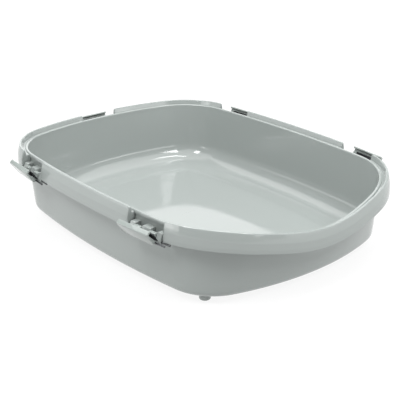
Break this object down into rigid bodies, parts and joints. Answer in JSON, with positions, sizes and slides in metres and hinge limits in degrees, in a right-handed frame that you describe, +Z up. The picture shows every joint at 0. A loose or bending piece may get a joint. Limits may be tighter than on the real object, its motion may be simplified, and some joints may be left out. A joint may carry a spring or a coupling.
{
  "type": "cat litter tray",
  "caption": "Deep rounded litter tray with a dipped front entrance, a grooved rim for a hood, and hinged over-centre clips around the rim that hold the hood down.",
  "frame": {"origin": "on the floor, under the middle of the whole assembly with its clips swung open", "axes": "+Z up, +Y towards the back (the end with one clip), entrance dip at -Y, +X to the right seen from the entrance"},
  "size_m": [0.4658, 0.5833, 0.119],
  "materials": {
    "tray_plastic": "pale grey injection-moulded plastic, satin gloss, smooth",
    "clip_plastic": "pale grey injection-moulded plastic, satin gloss",
    "hook_steel": "dark blackened sheet steel, semi-gloss",
    "pin_steel": "dark drawn steel wire, cut ends"
  },
  "bodies": {
    "tub": {"tray": "tray_plastic", "clip_left_back_hinge_pin": "pin_steel", "clip_left_front_hinge_pin": "pin_steel", "clip_right_front_hinge_pin": "pin_steel", "clip_right_back_hinge_pin": "pin_steel", "clip_back_hinge_pin": "pin_steel"},
    "clip_left_back_arm": {"clip_left_back_lever": "clip_plastic", "clip_left_back_hook_pin": "pin_steel"},
    "clip_left_back_hook": {"clip_left_back_hook_plate": "hook_steel"},
    "clip_left_front_arm": {"clip_left_front_lever": "clip_plastic", "clip_left_front_hook_pin": "pin_steel"},
    "clip_left_front_hook": {"clip_left_front_hook_plate": "hook_steel"},
    "clip_right_front_arm": {"clip_right_front_lever": "clip_plastic", "clip_right_front_hook_pin": "pin_steel"},
    "clip_right_front_hook": {"clip_right_front_hook_plate": "hook_steel"},
    "clip_right_back_arm": {"clip_right_back_lever": "clip_plastic", "clip_right_back_hook_pin": "pin_steel"},
    "clip_right_back_hook": {"clip_right_back_hook_plate": "hook_steel"},
    "clip_back_arm": {"clip_back_lever": "clip_plastic", "clip_back_hook_pin": "pin_steel"},
    "clip_back_hook": {"clip_back_hook_plate": "hook_steel"}
  },
  "joints": [
    {"name": "clip_left_back_swing", "type": "hinge", "parent": "tub", "child": "clip_left_back_arm", "pos_m": [-0.20557, 0.13586, 0.0884], "axis": [0.0815, 0.9967, 0], "range_deg": [0, 40]},
    {"name": "clip_left_back_hook_tilt", "type": "hinge", "parent": "clip_left_back_arm", "child": "clip_left_back_hook", "pos_m": [-0.21205, 0.13639, 0.0884], "axis": [0.0815, 0.9967, 0], "range_deg": [0, 15]},
    {"name": "clip_left_front_swing", "type": "hinge", "parent": "tub", "child": "clip_left_front_arm", "pos_m": [-0.20522, -0.15222, 0.0884], "axis": [-0.1, 0.995, 0], "range_deg": [0, 40]},
    {"name": "clip_left_front_hook_tilt", "type": "hinge", "parent": "clip_left_front_arm", "child": "clip_left_front_hook", "pos_m": [-0.21169, -0.15287, 0.0884], "axis": [-0.1, 0.995, 0], "range_deg": [0, 15]},
    {"name": "clip_right_front_swing", "type": "hinge", "parent": "tub", "child": "clip_right_front_arm", "pos_m": [0.20522, -0.15222, 0.0884], "axis": [-0.1, -0.995, 0], "range_deg": [0, 40]},
    {"name": "clip_right_front_hook_tilt", "type": "hinge", "parent": "clip_right_front_arm", "child": "clip_right_front_hook", "pos_m": [0.21169, -0.15287, 0.0884], "axis": [-0.1, -0.995, 0], "range_deg": [0, 15]},
    {"name": "clip_right_back_swing", "type": "hinge", "parent": "tub", "child": "clip_right_back_arm", "pos_m": [0.20557, 0.13586, 0.0884], "axis": [0.0815, -0.9967, 0], "range_deg": [0, 40]},
    {"name": "clip_right_back_hook_tilt", "type": "hinge", "parent": "clip_right_back_arm", "child": "clip_right_back_hook", "pos_m": [0.21205, 0.13639, 0.0884], "axis": [0.0815, -0.9967, 0], "range_deg": [0, 15]},
    {"name": "clip_back_swing", "type": "hinge", "parent": "tub", "child": "clip_back_arm", "pos_m": [0, 0.26687, 0.0884], "axis": [1, 0, 0], "range_deg": [0, 40]},
    {"name": "clip_back_hook_tilt", "type": "hinge", "parent": "clip_back_arm", "child": "clip_back_hook", "pos_m": [0, 0.27337, 0.0884], "axis": [1, 0, 0], "range_deg": [0, 15]}
  ]
}
